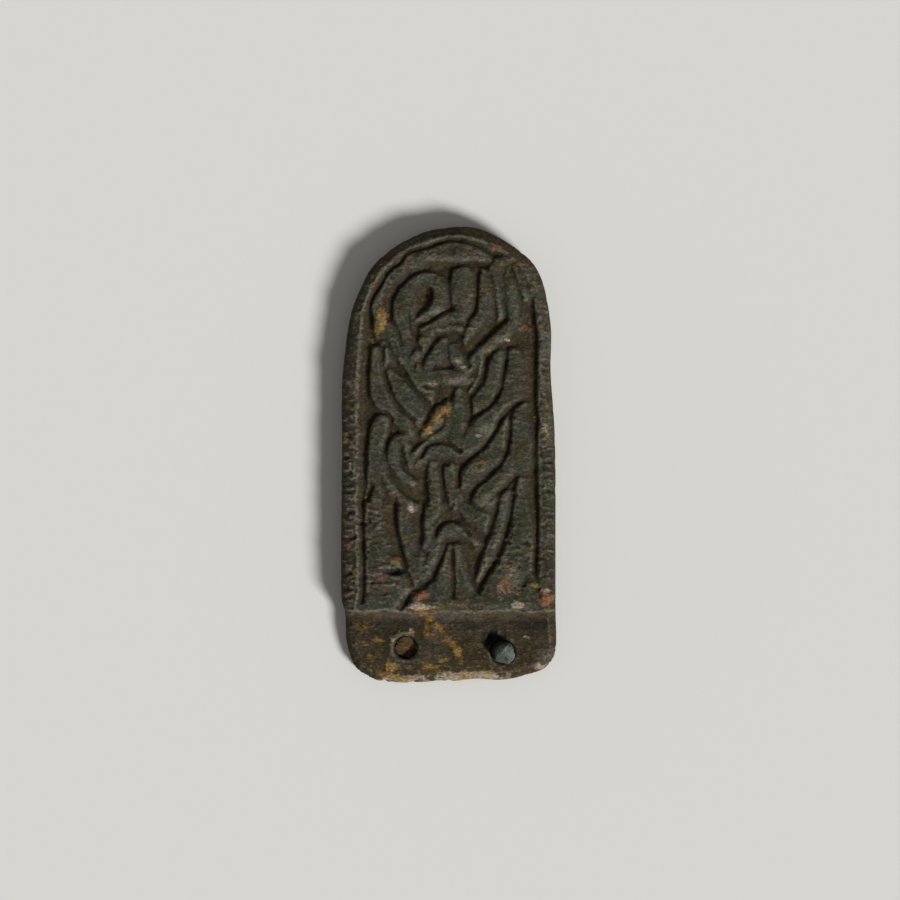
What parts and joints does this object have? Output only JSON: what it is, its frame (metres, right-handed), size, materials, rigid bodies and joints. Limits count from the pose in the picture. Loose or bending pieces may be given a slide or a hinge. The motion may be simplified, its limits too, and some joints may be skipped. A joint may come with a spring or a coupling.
{
  "type": "medieval strap end",
  "caption": "Tongue-shaped cast copper-alloy belt end with acanthus leaves in relief inside a raised border, and a stepped ledge with the remains of its two strap rivets",
  "frame": {"origin": "centre of the base of the bounding box, on the flat back of the plate", "axes": "+Z out of the decorated face, +Y along the length towards the rounded tip, +X to the right seen from the front"},
  "size_m": [0.0236, 0.05, 0.0035],
  "materials": {
    "cast_copper_alloy": "cast, worn and corroded, grey-green patina on the leaves and olive-brown in the sunk channels",
    "brown_rivet": "snapped stump with brown corrosion and ochre soil",
    "grey_green_rivet": "standing shank with a worn top, pale grey-green corrosion"
  },
  "bodies": {
    "root": {"cast_plate": "cast_copper_alloy", "left_rivet": "brown_rivet", "right_rivet": "grey_green_rivet"}
  },
  "joints": []
}
